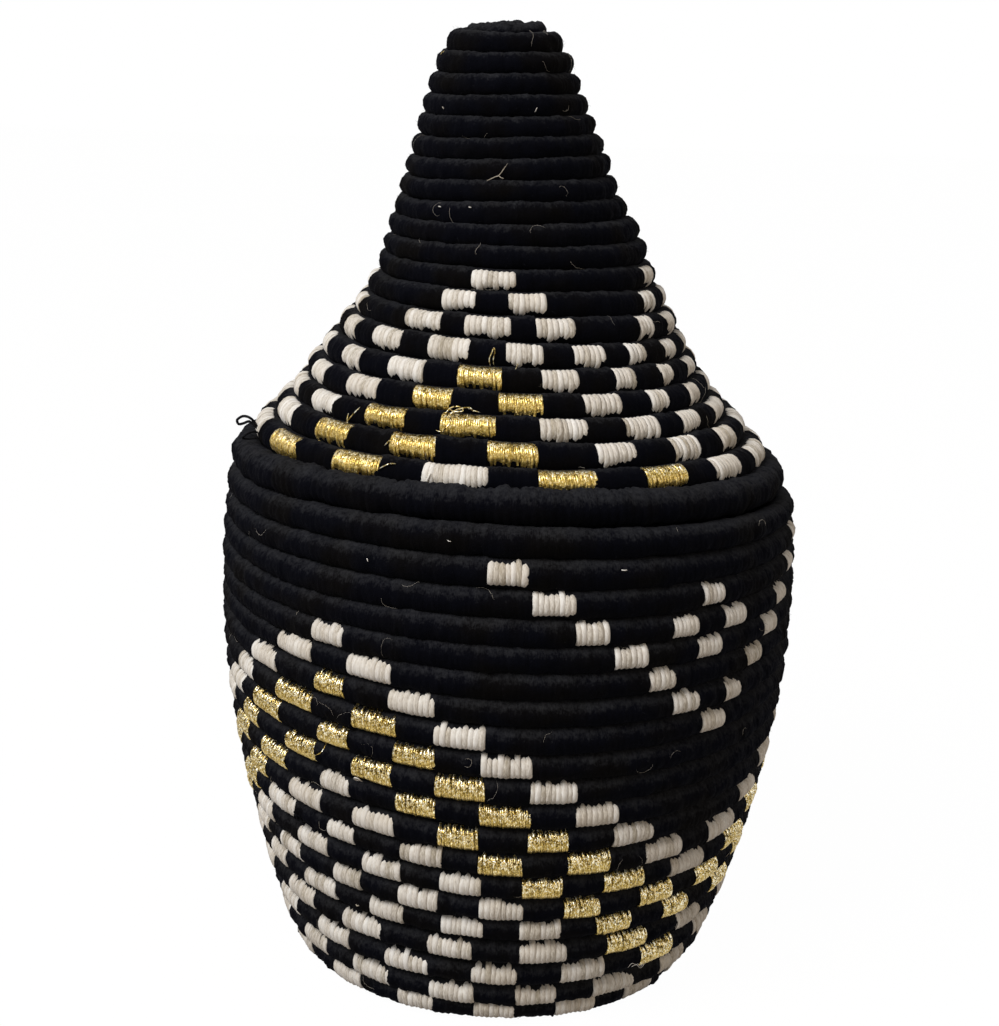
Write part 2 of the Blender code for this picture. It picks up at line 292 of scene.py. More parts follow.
def sideRadius(height, s=basketShape):
    if height > s["bellyHeight"]:
        share = (height - s["bellyHeight"]) / (s["mouthHeight"] - s["bellyHeight"])
        return mixOf(s["bellyRadius"], s["mouthRadius"], share ** 2)
    share = (s["bellyHeight"] - height) / s["bellyHeight"]
    return mixOf(s["bellyRadius"], s["footRadius"], share ** s["sidePower"])


def sideLine(lowest, s=basketShape):
    heights = [mixOf(s["mouthHeight"], lowest, i / sidePoints) for i in range(sidePoints + 1)]
    return [(sideRadius(height), height) for height in heights]


def wallLine(floorHeight, s=basketShape):
    line = sideLine(floorHeight + s["cornerRound"])
    corner = (sideRadius(floorHeight), floorHeight)
    line += bentLine(line[-1], corner, (corner[0] - s["cornerRound"], floorHeight))
    return line + [(corner[0] / 2, floorHeight)]


def lidLine(hem, s=lidShape, mouth=basketShape["mouthHeight"]):
    tip = (s["tipRadius"], mouth + s["tipHeight"])
    shoulder = (s["shoulderRadius"], mouth + s["shoulderHeight"])
    neck = (s["neckRadius"], mouth + s["neckHeight"])
    coneSlope = (neck[0] - shoulder[0]) / (shoulder[1] - neck[1])
    flareHeight = (hem[0] - neck[0] - coneSlope * (neck[1] - hem[1])) / (s["hemSlope"] - coneSlope)
    flarePull = (hem[0] - s["hemSlope"] * flareHeight, hem[1] + flareHeight)
    tipPull = (shoulder[0] - coneSlope * (tip[1] - shoulder[1]), tip[1])
    return [hem] + bentLine(hem, flarePull, neck) + [shoulder] + bentLine(shoulder, tipPull, tip)


def cornerReach(pitch):
    return (pitch - rowGap) / 2 / flatShare


def windCoil(line, pitchAt, leadIn, rows):
    # rows from the outer end inward, each one pitch from the row before: arrays of turn, middle,
    # way inward, half the spacing, and how much of its thickness the row has
    along = lineLengths(line)
    middles, reached = [], []
    turns = (np.arange(leadIn + round(rows * stepsInTurn) + 1) - leadIn) / stepsInTurn
    for i, turn in enumerate(turns):
        pitch = pitchAt(turn)
        distance = turn * pitch
        if i >= stepsInTurn:
            low, high = reached[i - stepsInTurn], reached[i - stepsInTurn] + 2 * pitch
            for _ in range(halvings):
                distance = (low + high) / 2
                gone = pointOn(line, along, distance) - middles[i - stepsInTurn]
                if np.linalg.norm(gone) < pitch:
                    low = distance
                else:
                    high = distance
        reached.append(distance)
        middles.append(pointOn(line, along, distance))
    middles = np.array(middles)
    ways = middles[stepsInTurn:] - middles[:-stepsInTurn]
    spacing = np.linalg.norm(ways, axis=1)
    inward = np.zeros_like(middles)
    inward[stepsInTurn:] += ways / spacing[:, None]
    inward[:-stepsInTurn] += ways / spacing[:, None]
    half = np.concatenate([spacing, np.full(stepsInTurn, spacing[-1])]) / 2
    thin = mixOf(taperEnd, 1.0, np.clip(np.arange(len(turns)) / taperSteps, 0, 1))
    return turns, middles, unit(inward), half, thin


def layCoil(name, body, wound):
    # the same coil with t growing downward: the row number at the front plus turns gone round
    turns, middles, inward, half, thin = wound
    t, down, order = turns + 0.5, inward, 1
    if body == "lid":
        t, down, order = lidShape["rows"] + 0.5 - turns, -inward, -1
    laid = {"t": t, "r": middles[:, 0], "z": middles[:, 1], "downR": down[:, 0],
            "downZ": down[:, 1], "half": half, "thin": thin}
    return {"name": name, "body": body, **{key: each[::order] for key, each in laid.items()}}


# What a hand-wound coil does: rows wander, swell and press into each other, with so many waves in
# a turn, and the basket's rows have slid down a little, as (row, mm)
handMade = {
    "drift": 0.22, "driftWaves": (0.4, 3.2), "plump": 0.035, "plumpWaves": (0.7, 6.0),
    "lumps": 0.020, "lumpWaves": (12, 45), "press": 0.35,
    "slid": [(0.5, 0.8), (2.0, 1.2), (3.0, 1.5), (4.0, 1.3), (5.0, 0.9), (6.0, 0.5), (8.0, 0.8),
             (16.3, 0.5), (17.0, 0.9), (18.0, 1.9), (19.0, 2.2), (19.8, 0.9), (20.5, 0.0)],
}

# The mouth is highest at the front and sinks towards the sides and the back, with the rows near
# it, as (row, mm). The lid's rows also widen or narrow away from the front and bulge on the right.
# The basket's lower rows run a little higher on the left, and its foot is narrower at the sides
sagging = {
    "wall": [(0.4, 9.0), (1.0, 8.4), (2.0, 6.6), (3.0, 5.2), (4.0, 3.8), (5.0, 2.2), (6.0, 0.9),
             (7.0, 0)],
    "wallNarrow": [(17.0, 0.0), (18.0, 0.6), (19.0, 1.4), (20.0, 2.8), (20.5, 3.0)],
    "leftRise": [(5.0, 0.0), (10.0, 2.5), (11.0, 2.8), (16.0, 2.8), (19.0, 1.2), (20.3, 0.0)],
    "lid": [(0, 0.6), (8, 1.5), (12, 2.0), (16.5, 2.4), (18, 2.9), (19, 3.4), (20, 5.6), (20.6, 6.2)],
    "lidWiden": [(10.0, 0.0), (12.0, -1.4), (13.0, -1.3), (14.0, -1.0), (15.0, -0.2), (16.0, 1.0),
                 (17.0, 1.2), (18.0, 0.1), (19.0, 0.4), (20.0, 2.0), (20.6, 2.4)],
    "lidRight": [(9.0, 0.0), (10.0, 1.5), (11.0, 3.4), (12.0, 4.0), (14.0, 3.8), (15.0, 2.2),
                 (16.0, 0.6), (17.0, 0.0), (19.0, 0.0), (20.0, 1.0), (20.6, 1.2)],
    "rollFront": 2.0, "roll": 9.0, "rollInset": 1.0, "collar": 6.5,
}


def backward(angle):
    # 0 at the front, and 0.75 at the sides and the back
    way = 1 - np.cos(angle)
    return way - way ** 2 / 4 - np.maximum(0, way - 1) ** 2 / 4


def sagAt(coil, t, angle, s=sagging):
    # how far a coil's row sinks and widens there, in mm
    share = backward(angle)
    if coil["body"] == "lid":
        bulge = readAt(s["lidRight"], t) * np.maximum(0, np.sin(angle)) ** 3
        return readAt(s["lid"], t) * share, readAt(s["lidWiden"], t) * share + bulge
    rise = readAt(s["leftRise"], t) * np.maximum(0, -np.sin(angle))
    return readAt(s["wall"], t) * share - rise, -(readAt(s["wallNarrow"], t) * share)


def coilAt(coil, t):
    # the row's section at t: its middle, the ways out and down, and how far it reaches both ways
    found = {key: np.interp(t, coil["t"], coil[key])
             for key in ("r", "z", "downR", "downZ", "half", "thin")}
    onLid = coil["body"] == "lid"
    angle = 2 * np.pi * t
    above, below = sagAt(coil, t - 0.5, angle), sagAt(coil, t + 0.5, angle)
    closer = found["downR"] * (above[1] - below[1]) + found["downZ"] * (below[0] - above[0])
    half = found["half"] - closer / 2
    sunk, wider = sagAt(coil, t, angle)
    long = np.hypot(found["downR"], found["downZ"])
    downR, downZ = found["downR"] / long, found["downZ"] / long
    r, z, thin = found["r"] + wider, found["z"] - sunk, found["thin"]
    # the thin end of a coil lies pressed on the row inside it
    pressed = (1 - thin) * (half - rowGap / 2) * (-1 if onLid else 1)
    seed = 500 if onLid else 900
    drift = handMade["drift"] * wobble(t, seed, *handMade["driftWaves"])
    if not onLid:
        drift = drift + readAt(handMade["slid"], t)
    for slide in (pressed, drift):
        r, z = r + slide * downR, z + slide * downZ
    plump = 1 + handMade["plump"] * wobble(t, seed + 1, *handMade["plumpWaves"])
    plump = plump + handMade["lumps"] * wobble(t, seed + 2, *handMade["lumpWaves"])
    return {"r": r, "z": z, "downR": downR, "downZ": downZ, "outR": -downZ, "outZ": downR,
            "angle": angle, "thin": thin, "across": (half + handMade["press"]) * thin * plump,
            "puff": (half - rowGap / 2) / flatShare * thin * plump}


def columnsAt(coil, t):
    # the same for many t, as columns that go with the points round each section
    return {key: values[:, None] for key, values in coilAt(coil, t).items()}


def rowRadius(coil, t):
    return float(np.interp(t, coil["t"], coil["r"]))


def turnLength(coil, t):
    return 2 * math.pi * rowRadius(coil, t)


rollShape = {"radius": 4.9, "inset": 2.3, "woundMm": 2.3, "out": 5.15, "up": 4.95, "around": 79.0}
collarShape = {"row": 2.8, "lean": 2.2, "drop": 6.0, "woundMm": 1.9, "out": 2.85, "up": 3.6}


def touchingHeight(reach, radius, rows, way):
    # where a ring of that radius touches the rows, coming from above (way 1) or below (way -1)
    heights = []
    for (middleR, middleZ), other in rows:
        apart = radius + other + fitGap
        aside = middleR - reach
        if abs(aside) < apart:
            heights.append(middleZ + way * math.sqrt(apart ** 2 - aside ** 2))
    return way * max(way * height for height in heights)


def rowsBeside(wound, step, way):
    # the frame's rows at one step round the basket, as (middle, radius); way is -1 for the lid
    turns, middles, inward, half, thin = wound
    steps = way * (np.round(turns * stepsInTurn).astype(int) - halfTurn)
    radii = cornerReach(2 * half)
    rows = middles + inward * (1 - thin)[:, None] * radii[:, None] * flatShare
    return [(rows[i], radii[i] * thin[i]) for i in np.flatnonzero((steps - step) % stepsInTurn == 0)]


def rollPath(wound, drift):
    # the roll lies on the mouth; it drifts outward as the hem does, and closes in its last steps
    closing = halfTurn - taperSteps
    middles = {}
    for step in range(-halfTurn, halfTurn):
        turned = step
        if step > closing:
            turned = mixOf(closing, -halfTurn, (step - closing) / taperSteps)
        reach = basketShape["mouthRadius"] - rollShape["inset"] + drift * turned / stepsInTurn
        height = touchingHeight(reach, rollShape["radius"], rowsBeside(wound, step, 1), 1)
        middles[step] = np.array([reach, height])
    return middles


def windLid(wallWound, wallPitch, s=lidShape):
    hemWay = np.array([s["hemSlope"], -1]) / math.hypot(s["hemSlope"], 1)
    tuckAngle = math.radians(s["hemTuck"])
    tuck = np.array([-math.cos(tuckAngle), math.sin(tuckAngle)])
    fullRows = s["thickRows"] + s["growingRows"] / 2
    thick = wallPitch
    for _ in range(lidTries):
        roll = rollPath(wallWound, hemWay[0] * thick)
        lastRow = roll[0] + (cornerReach(thick) + rollShape["radius"] + fitGap) * tuck
        line = lidLine(tuple(lastRow + hemWay * thick / 2))
        thin = lineLengths(line)[-1] / (fullRows * s["growth"] + s["rows"] - fullRows)
        thick = thin * s["growth"]

    def pitchAt(turn):
        return mixOf(thick, thin, float(smoothStep((turn - s["thickRows"]) / s["growingRows"])))

    return windCoil(line, pitchAt, 0, s["rows"]), roll


wallPitch = lineLengths(sideLine(0))[-1] / basketShape["sideRows"]
floorHeight = cornerReach(wallPitch) + fitGap
wallWound = windCoil(wallLine(floorHeight), lambda turn: wallPitch, taperSteps, basketShape["turns"])
lidWound, roll = windLid(wallWound, wallPitch)
wallCoil = layCoil("wall", "basket", wallWound)
lidCoil = layCoil("lid", "lid", lidWound)
print("coils laid: wall pitch %.2f mm, roll at the front %.1f, %.1f mm" % (wallPitch, *roll[0]))

# The loose lid sits a little to the left of the mouth, and its tip is bent over to the left and
# tilted: (height, mm) to the right and up, and (height, slope)
lidSet = {
    "shift": [(157, -2.4), (222, -3.1), (236, -3.9), (250, -5.2), (266, -6.4), (282, -7.0)],
    "tilt": [(200, 0.0), (245, 0.085), (282, 0.085)],
    "rise": [(160, 0.7), (200, 1.0), (240, 0.7), (270, 0)],
}


def setLid(points, s=lidSet):
    moved = points.copy()
    height = points[..., 2]
    moved[..., 2] += readAt(s["rise"], height) + readAt(s["tilt"], height) * points[..., 0]
    moved[..., 0] += readAt(s["shift"], height)
    return moved


# Meshes
aboveFloor = 0.02


def makePiece(name, body, yarn, grids, closed, tone, upper, uv=None, nodes=()):
    # grids: strips x rings x points x 3. Each strip is a tube, closed on itself or capped at its
    # ends. tone varies the yarn's colour at random, and upper carries its painted light and shade.
    # uv: strips x rings x points x 2, with a point more, and a ring more where the strip is closed,
    # so that seams don't run backward
    material, slotName = yarns[yarn]
    shape = grids.shape[:3]
    strips, rings, sides = shape
    index = np.arange(strips * rings * sides).reshape(shape)
    i = np.arange(rings if closed else rings - 1)[:, None]
    j = np.arange(sides)
    nextRing, nextSide = (i + 1) % rings, (j + 1) % sides
    quads = np.stack([index[:, i, j], index[:, i, nextSide], index[:, nextRing, nextSide],
                      index[:, nextRing, j]], axis=-1).reshape(-1, 4)
    caps = np.stack([index[:, 0, ::-1], index[:, -1]], axis=1).reshape(-1, sides)
    if closed:
        caps = caps[:0]
    starts = np.concatenate([np.arange(len(quads)) * 4, quads.size + np.arange(len(caps)) * sides])
    mesh = bpy.data.meshes.new(name)
    mesh.vertices.add(index.size)
    points = setLid(grids) if body == "lid" else grids
    mesh.vertices.foreach_set("co", (points * mm).astype(np.float32).ravel())
    corners = np.concatenate([quads.ravel(), caps.ravel()]).astype(np.int32)
    mesh.loops.add(len(corners))
    mesh.loops.foreach_set("vertex_index", corners)
    mesh.polygons.add(len(starts))
    mesh.polygons.foreach_set("loop_start", starts.astype(np.int32))
    mesh.update(calc_edges=True)
    mesh.validate()
    mesh.polygons.foreach_set("use_smooth", np.ones(len(mesh.polygons), bool))
    if uv is not None:
        cornersUv = np.stack([uv[:, i, j], uv[:, i, j + 1], uv[:, i + 1, j + 1], uv[:, i + 1, j]],
                             axis=3).reshape(-1, 2)
        filled = np.zeros((len(corners), 2), np.float32)
        filled[:len(cornersUv)] = cornersUv * mm
        mesh.uv_layers.new(name="yarn").data.foreach_set("uv", filled.ravel())
    for key, values in (("tone", tone), ("upper", upper)):
        layer = mesh.attributes.new(key, "FLOAT", "POINT")
        layer.data.foreach_set("value", np.broadcast_to(values, shape).astype(np.float32).ravel())
    mesh.materials.append(material)
    piece = bpy.data.objects.new(name, mesh)
    scene.collection.objects.link(piece)
    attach(piece, body)
    if nodes:
        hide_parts(*nodes)
    print(name, len(mesh.vertices), "points")


def tubes(middle, across, other, acrossReach, otherReach, sides):
    # strips x rings x sides x 3: points round each middle, in two ways across the tube
    turn = circle(sides)
    grid = (middle[:, :, None] + acrossReach[..., None, None] * np.cos(turn)[:, None] * across[:, :, None]
            + otherReach[..., None, None] * np.sin(turn)[:, None] * other[:, :, None])
    grid[..., 2] = np.maximum(grid[..., 2], aboveFloor)
    return grid


def yarnUv(travelled, sides, sideMm):
    # travelled: strips x rings, in mm along the yarn; sideMm: from one point round it to the next
    around = np.broadcast_to(np.arange(sides + 1) * sideMm, (*travelled.shape, sides + 1))
    return np.stack([np.broadcast_to(travelled[..., None], around.shape), around], axis=-1)


def travelledBy(ts, radius):
    return np.concatenate([[0], np.cumsum(np.abs(np.diff(ts)) * 2 * np.pi * radius[:-1])])


shadeShape = {"slope": 0.62, "turned": 0.15, "power": 1.3, "tone": (0.5, 0.22)}


def upperSide(theta, s=shadeShape):
    # 1 where a row's surface faces up and out, 0 on its lower side; theta 0 is straight out. This is the
    # mask of the painted light and shade in the wool's and the gold's colour
    return smoothStep(0.5 - s["slope"] * np.sin(theta + s["turned"])) ** s["power"]


def softNoise(shape, seed, reach=3):
    # random lumps, smoothed along the row and round it
    noise = np.random.default_rng(seed).normal(0, 1, shape)
    kernel = np.hanning(2 * reach + 3)[1:-1]
    kernel /= math.sqrt((kernel ** 2).sum())
    noise = np.apply_along_axis(lambda line: np.convolve(line, kernel, mode="same"), 0, noise)
    return (noise + np.roll(noise, 1, axis=1) + np.roll(noise, -1, axis=1)) / math.sqrt(3)


def inSpace(r, z, angle):
    return np.stack([r * np.sin(angle), -r * np.cos(angle), z], axis=-1)


def place(found, out, along, angle=None):
    # a point in the section's plane: out from the row's middle, and along towards the next row down
    r = found["r"] + out * found["outR"] + along * found["downR"]
    z = found["z"] + out * found["outZ"] + along * found["downZ"]
    return inSpace(r, np.maximum(z, aboveFloor), found["angle"] if angle is None else angle)


def alongRow(angle):
    return np.stack([np.cos(angle), np.sin(angle), np.zeros_like(angle)], axis=-1)


def tonesOf(own, count=None):
    return np.clip(own.normal(*shadeShape["tone"], count), 0, 1)


# Where the coloured blocks are: (t of the middle, width in mm, yarn). Rows are counted from a
# coil's upper end, and columns are half a block's spacing apart
patternShape = {
    "zigzagRows": (5, 17), "zigzagColumns": 18, "footRows": (17, 21), "footBlocks": 17,
    "lidRows": (12, 21), "lidColumns": 8, "endTurns": (0.02, 0.004), "degreeSpread": 0.35,
    "widthSpread": 0.05, "peakShare": 0.39, "zigzagShare": 0.515, "goldShare": 0.49, "footShare": 0.50,
    "leftArm": (43.0, 35.8, 29.5, 22.3, 15.0, 8.2, -0.1),
    "leftArmMm": (8.2, 8.4, 8.0, 8.9, 8.7, 9.8, 11.0),
    "rightArm": (47.9, 53.8, 60.6, 65.9, 73.0, 79.8), "rightArmMm": 7.6,
    "diamond": ((3, 41.3), (4, 34.1), (4, 46.6), (5, 40.0)), "diamondMm": 8.0,
    "lidMm": [(12, 9.6), (13, 9.8), (14, 10.8), (16, 10.6), (18, 13.2), (19, 13.6), (20, 16.6)],
    "lidShare": [(-8, 0.9), (-4, 1.0), (-1, 0.95), (0, 1.08), (1, 0.93), (2, 0.93), (3, 0.82),
                 (6, 0.72), (8, 0.72)],
    "lidSideShare": 0.78, "hemStretch": 1.02, "hemTurn": 0.6,
    "lidGold": {16: (0,), 17: (-1, 1), 18: (-2, 0), 19: (-3, -1, 1), 20: (-4, -2, 2, 4)},
    "leastBlackMm": 2.5,
}


def bodyAngle(column):
    # the columns are narrower at the front, where the eye sees them, than at the back
    return readAt([(-4, -67.5), (-3, -61.0), (0, -34.0), (9, 44.3), (12, 73.0), (32, 292.5)],
                  (column + 4) % 36 - 4)


def lidAngle(column, row):
    # the columns lean a little on the way down
    column = (column + 6) % 32 - 6
    lean = readAt([(-6, -0.3), (-2, -0.25), (-1, -0.15), (0, -0.45), (1, -0.9), (2, -0.6), (4, 0.1),
                   (8, 0.3), (26, -0.3)], column)
    return readAt([(-6, -79.0), (0, -7.6), (1, 5.2), (2, 16.2), (3, 27.2), (8, 75.0), (26, 281.0)],
                  column) + lean * (row - 16)


def addBlock(blocks, row, angle, width, yarn, p=patternShape):
    angle = (angle + rng.normal(0, p["degreeSpread"]) + 180.0) % 360.0 - 180.0
    width = width * (1 + rng.normal(0, p["widthSpread"]))
    blocks.append((row + angle / 360, width, yarn))


def bodyBlocks(p=patternShape):
    # the zigzag has two peaks, with its gold two and four rows down from its upper edge
    blocks = []
    first, end = p["zigzagRows"]
    apart = p["zigzagColumns"]
    for row in range(first, end):
        radius = rowRadius(wallCoil, row)
        for column in range(-4, 2 * apart - 4):
            step = row - first - min(column % apart, -column % apart)
            if (column - row + first) % 2 or step < 0:
                continue
            yarn = "gold" if step in (2, 4) else "cotton"
            before, after = bodyAngle(column - 1), bodyAngle(column + 1)
            spacing = math.radians((after - before) % 360) * radius
            share = p["goldShare"] if yarn == "gold" else p["zigzagShare"]
            if column % apart == 0:
                share = p["peakShare"]
            addBlock(blocks, row, bodyAngle(column), spacing * share, yarn)
    count = p["footBlocks"]
    for row in range(*p["footRows"]):
        spacing = turnLength(wallCoil, row) / count
        for column in range(-count, count):
            if (column - row) % 2 == 0:
                yarn = "gold" if (row, column) in ((17, 3), (18, 4)) else "cotton"
                addBlock(blocks, row, column * 360 / (2 * count), spacing * p["footShare"], yarn)
    for turned in (0, 180):
        for k, (angle, width) in enumerate(zip(p["leftArm"], p["leftArmMm"])):
            addBlock(blocks, 8 - k, angle + turned, width, "cotton")
        for k, angle in enumerate(p["rightArm"]):
            addBlock(blocks, 7 - k, angle + turned, p["rightArmMm"], "cotton")
        for row, angle in p["diamond"]:
            addBlock(blocks, row, angle + turned, p["diamondMm"], "cotton")
    return sorted(blocks)


def lidBlocks(p=patternShape):
    # four triangles, each with its tip in the first row; every second one has the gold
    blocks = []
    first, end = p["lidRows"]
    apart = p["lidColumns"]
    for row in range(first, end):
        wide = readAt(p["lidMm"], row)
        for column in range(-6, 4 * apart - 6):
            if (column - row) % 2 or min(column % apart, -column % apart) > row - first:
                continue
            near = (column + apart) % (2 * apart) - apart
            yarn = "gold" if near in p["lidGold"].get(row, ()) else "cotton"
            share = readAt(p["lidShare"], near)
            if row < 18 and abs(near) >= 4:
                share = share * p["lidSideShare"]
            angle = lidAngle(column, row)
            if row >= 19 and -90 < angle < 90:
                angle = angle * p["hemStretch"] - p["hemTurn"]
            addBlock(blocks, row, angle, wide * share, yarn)
    return sorted(blocks)


def blockEdges(coil, blocks, p=patternShape):
    # at the back the rows step down by one, and two blocks that would touch there become one
    edges = []
    for middle, width, yarn in blocks:
        turn = turnLength(coil, middle)
        low = max(middle - width / 2 / turn, coil["t"][0] + p["endTurns"][0])
        high = min(middle + width / 2 / turn, coil["t"][-1] - p["endTurns"][1])
        if edges and low - edges[-1][1] < p["leastBlackMm"] / turn:
            shift = (low - edges[-1][0]) / 2
            edges[-1] = (edges[-1][0] + shift, edges[-1][1] + shift, edges[-1][2])
        elif high > low:
            edges.append((low, high, yarn))
    return edges


# A row's black wool, wrap by wrap, each with its rise as (share of its width, height); under the
# coloured blocks it lies lower and plain
woolShape = {
    "wrapMm": 1.75, "wrapSpread": 0.16, "leastWrap": 0.4,
    "rise": ((0.0, 0.0), (0.28, 0.85), (0.62, 1.0)), "riseSpread": 0.22, "groove": 0.17,
    "sunk": 0.55, "sunkMm": 2.2, "sunkTone": 0.3, "alongShare": 0.4, "tufts": 0.23, "nap": 0.07,
    "points": 18, "pointMm": 1.6,
}


def woolRings(coil, edges, s=woolShape):
    # the rings of points along the row, as (t, depth of the groove, 1 where sunk, tone)
    rings = []
    t, end = float(coil["t"][0]), float(coil["t"][-1])
    k = 0
    while t < end:
        turn = turnLength(coil, t)
        if k < len(edges) and t >= edges[k][0] - 1e-9:
            stop = min(edges[k][1], end)
            steps = max(2, int((stop - t) * turn / s["sunkMm"]))
            rings += [(t + (stop - t) * i / steps, 0.0, 1.0, s["sunkTone"]) for i in range(steps)]
            t = stop
            k += 1
            continue
        wide = s["wrapMm"] * (1 + rng.normal(0, s["wrapSpread"])) / turn
        stop = min(t + max(wide, s["leastWrap"] * s["wrapMm"] / turn), end)
        if k < len(edges):
            stop = min(stop, edges[k][0])
        rise = 1 + rng.normal(0, s["riseSpread"])
        tone = tonesOf(rng)
        rings += [(t + (stop - t) * share, 1 - height * rise, 0.0, tone) for share, height in s["rise"]]
        t = stop + 1e-12
    rings.append((end, 1.0, 0.0, shadeShape["tone"][0]))
    return np.array(rings).T


def woolCoil(coil, edges, nodes, s=woolShape):
    ts, dip, sunk, tone = woolRings(coil, edges)
    found = columnsAt(coil, ts)
    theta = circle(s["points"])
    less = (s["groove"] * dip + s["sunk"] * sunk)[:, None]
    shape = (len(ts), s["points"])
    soft = s["nap"] * rng.normal(0, 1, shape) + s["tufts"] * softNoise(shape, 61)
    soft = soft * (1 - sunk[:, None])
    out = (found["puff"] - (less - soft) * found["thin"]) * np.cos(theta)
    less, soft = s["alongShare"] * less, s["alongShare"] * soft
    along = (found["across"] - (less - soft) * found["thin"]) * np.sin(theta)
    uv = yarnUv(travelledBy(ts, found["r"][:, 0])[None], s["points"], s["pointMm"])
    makePiece(coil["name"] + "_wool_rows", coil["body"], "wool", place(found, out, along)[None],
              False, tone[None, :, None], upperSide(theta), uv, nodes)


# Coloured wraps: each is a closed loop of yarn round the row. On one side it reaches a little
# further over the groove, which gives the blocks their toothed edge; the other edge is straight
yarnShape = {
    "cotton": {"spacing": 1.40, "wide": 0.96, "deep": 0.55, "lift": -0.26, "inset": 1.05, "full": 2.5,
               "tooth": 0.28, "toothSpread": 0.30, "slant": 0.02, "jitter": 0.05, "rough": 0.05,
               "sides": 6},
    "gold": {"spacing": 0.56, "wide": 0.50, "deep": 0.34, "lift": -0.10, "inset": 0.80, "full": 2.4,
             "tooth": 0.30, "toothSpread": 0.38, "slant": 0.04, "jitter": 0.08, "rough": 0.12,
             "sides": 5},
}
loopShape = {"points": 18, "fatSpread": 0.07, "mostTooth": 0.9, "pointMm": 1.9, "sideMm": 0.75,
             "startMm": 40}


def rounded(theta, fullness):
    # cosine and sine of a section that is a little fuller than a circle
    c, s = np.cos(theta), np.sin(theta)
    power = 2 / fullness
    return np.sign(c) * np.abs(c) ** power, np.sign(s) * np.abs(s) ** power


def wrapPiece(coil, edges, yarn, s=loopShape):
    y = yarnShape[yarn]
    centres = []
    for low, high, kind in edges:
        if kind == yarn:
            count = max(4, round((high - low) * turnLength(coil, low) / y["spacing"]))
            places = (np.arange(count) + 0.5) / count
            places = places + rng.normal(0, y["jitter"], count) / count
            centres.append(low + (high - low) * places)
    found = columnsAt(coil, np.concatenate(centres))
    n = len(found["r"])
    fat = (1 + rng.normal(0, s["fatSpread"], n))[:, None]
    puff = found["puff"] + y["lift"] + rng.normal(0, y["rough"], n)[:, None]
    across = found["across"] - handMade["press"] - y["inset"]
    tooth = y["tooth"] + rng.normal(0, y["toothSpread"], n)
    tooth = np.clip(tooth, 0.0, s["mostTooth"])[:, None]
    way = 1.0 if coil["body"] == "lid" else -1.0        # the toothed edge is the lower one on the lid
    degrees = (np.arange(s["points"]) + 0.5) * 360 / s["points"]
    c, sn = rounded(np.radians(degrees), y["full"])
    outs = puff * c
    alongs = -way * (across + np.where(sn < 0, tooth, 0.0)) * sn
    side = y["slant"] * alongs * rng.normal(1, 1.0, (n, 1))
    side = side + rng.normal(0, 0.2 * y["slant"], (n, 1)) * outs
    angle = found["angle"] + side / found["r"]
    ahead = np.roll(outs, -1, axis=1) - np.roll(outs, 1, axis=1)
    aheadAlong = np.roll(alongs, -1, axis=1) - np.roll(alongs, 1, axis=1)
    long = np.hypot(ahead, aheadAlong)
    normalOut, normalAlong = aheadAlong / long, -ahead / long
    normalR = normalOut * found["outR"] + normalAlong * found["downR"]
    normalZ = normalOut * found["outZ"] + normalAlong * found["downZ"]
    grid = tubes(place(found, outs, alongs, angle), inSpace(normalR, normalZ, angle), alongRow(angle),
                 fat * y["deep"], fat * y["wide"], y["sides"])
    tone = tonesOf(rng, n)[:, None, None]
    travelled = np.arange(s["points"] + 1) * s["pointMm"] + rng.uniform(0, s["startMm"], n)[:, None]
    # the painted glints and shade of the gold are strongest on the wrap's upper side
    upper = upperSide(np.radians(-way * degrees))[:, None]
    makePiece("%s_%s_wraps" % (coil["name"], yarn), coil["body"], yarn, grid, True, tone, upper,
              yarnUv(travelled, y["sides"], s["sideMm"]))


coils = ((wallCoil, blockEdges(wallCoil, bodyBlocks())), (lidCoil, blockEdges(lidCoil, lidBlocks())))
print("blocks: %d on the basket, %d on the lid" % tuple(len(edges) for coil, edges in coils))
for (coil, edges), nodes in zip(coils, (["wall_coil"], ["lid_coil", "lid_cone_coil"])):
    woolCoil(coil, edges, nodes)
for coil, edges in coils:
    wrapPiece(coil, edges, "cotton")
    wrapPiece(coil, edges, "gold")


# Rings and inner coils of plain black rows: the roll, the collar, the base and the tip
plainShape = {"points": 16, "groove": 0.15, "swell": 0.045, "swellWaves": (2, 9), "lumps": 0.03,
              "fullFrom": 3.0}


